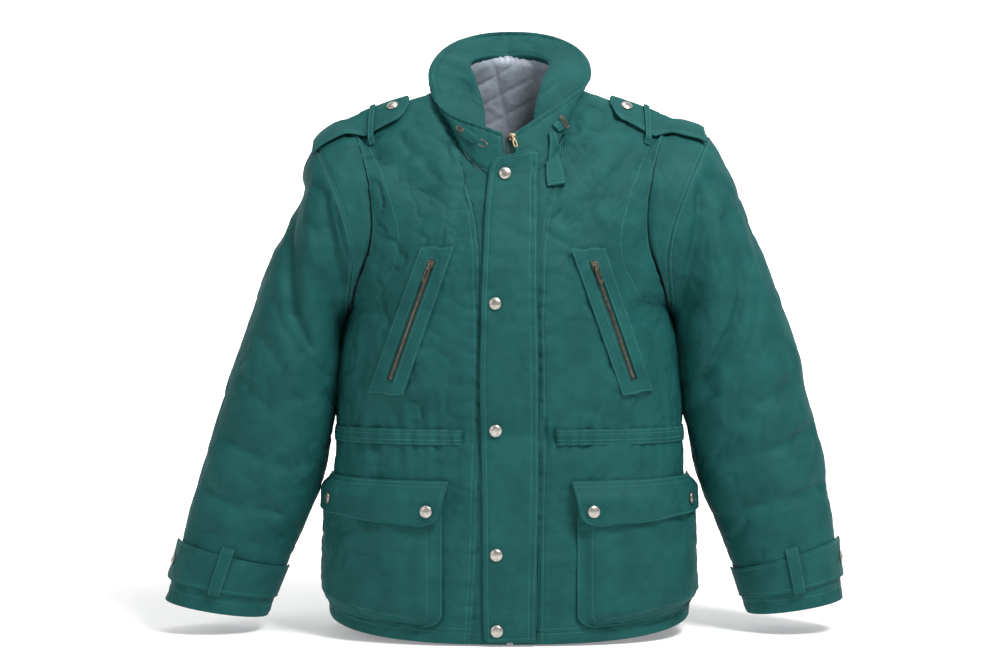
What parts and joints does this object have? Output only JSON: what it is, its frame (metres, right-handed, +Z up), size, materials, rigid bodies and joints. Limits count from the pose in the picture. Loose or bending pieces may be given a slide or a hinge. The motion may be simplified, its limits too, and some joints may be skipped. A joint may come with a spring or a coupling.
{
  "type": "parka",
  "caption": "Padded hip-length parka with a stand collar, storm placket, bellows pockets, slanted chest zips, epaulettes and cuff straps, hollow as worn.",
  "frame": {"origin": "between the shoulders at the height of the side neck, where the wearer's shoulders carry it", "axes": "+Z up; the front faces -Y; +X to the viewer's right, the wearer's left"},
  "size_m": [0.9148, 0.3016, 0.824],
  "materials": {
    "green_cloth": "tightly woven, soft sheen",
    "grey_lining": "quilted satin lining",
    "nickel": "brushed nickel plate",
    "gunmetal": "dark nickel plate",
    "brass": "aged brass"
  },
  "bodies": {
    "coat": {"back": "green_cloth", "band_left": "green_cloth", "band_right": "green_cloth", "chest_chain_left": "gunmetal", "chest_chain_right": "gunmetal", "chest_frame_left": "green_cloth", "chest_frame_right": "green_cloth", "chest_slider_left": "gunmetal", "chest_slider_right": "gunmetal", "collar": "green_cloth", "cuff_loop_left": "green_cloth", "cuff_loop_right": "green_cloth", "cuff_strap_left": "green_cloth", "cuff_strap_right": "green_cloth", "epaulette_left": "green_cloth", "epaulette_loop_left": "green_cloth", "epaulette_loop_right": "green_cloth", "epaulette_right": "green_cloth", "flap_left": "green_cloth", "flap_right": "green_cloth", "front_left": "green_cloth", "front_right": "green_cloth", "lining_back": "grey_lining", "placket": "green_cloth", "pocket_left": "green_cloth", "pocket_right": "green_cloth", "sleeve_head_left": "green_cloth", "sleeve_head_right": "green_cloth", "sleeve_left": "green_cloth", "sleeve_right": "green_cloth", "snap_cuff_left": "nickel", "snap_cuff_right": "nickel", "snap_epaulette_left": "nickel", "snap_epaulette_right": "nickel", "snap_flap_left_inner": "nickel", "snap_flap_left_outer": "nickel", "snap_flap_right_inner": "nickel", "snap_flap_right_outer": "nickel", "snap_placket_1": "nickel", "snap_placket_2": "nickel", "snap_placket_3": "nickel", "snap_placket_4": "nickel", "snap_placket_5": "nickel", "throat_bar_left": "gunmetal", "throat_buckle_right": "gunmetal", "throat_ring_left": "gunmetal", "throat_strap_left": "green_cloth", "throat_strap_right": "green_cloth", "throat_tab": "green_cloth", "waist_back": "green_cloth", "waist_front_left": "green_cloth", "waist_front_right": "green_cloth", "zip_chain": "brass", "zip_slider": "brass"},
    "zip_pull": {"zip_pull": "brass"},
    "chest_pull_left": {"chest_pull_left": "gunmetal"},
    "chest_pull_right": {"chest_pull_right": "gunmetal"}
  },
  "joints": [
    {"name": "zip_pull_hinge", "type": "hinge", "parent": "coat", "child": "zip_pull", "pos_m": [0.00315, -0.10541, -0.07154], "axis": [-0.9456, -0.1929, -0.2619], "range_deg": [0, 150]},
    {"name": "chest_pull_left_hinge", "type": "hinge", "parent": "coat", "child": "chest_pull_left", "pos_m": [-0.10221, -0.14513, -0.23925], "axis": [-0.9155, 0.2327, 0.3284], "range_deg": [0, 150]},
    {"name": "chest_pull_right_hinge", "type": "hinge", "parent": "coat", "child": "chest_pull_right", "pos_m": [0.1098, -0.1435, -0.24083], "axis": [-0.9106, -0.2571, -0.3235], "range_deg": [0, 150]}
  ]
}
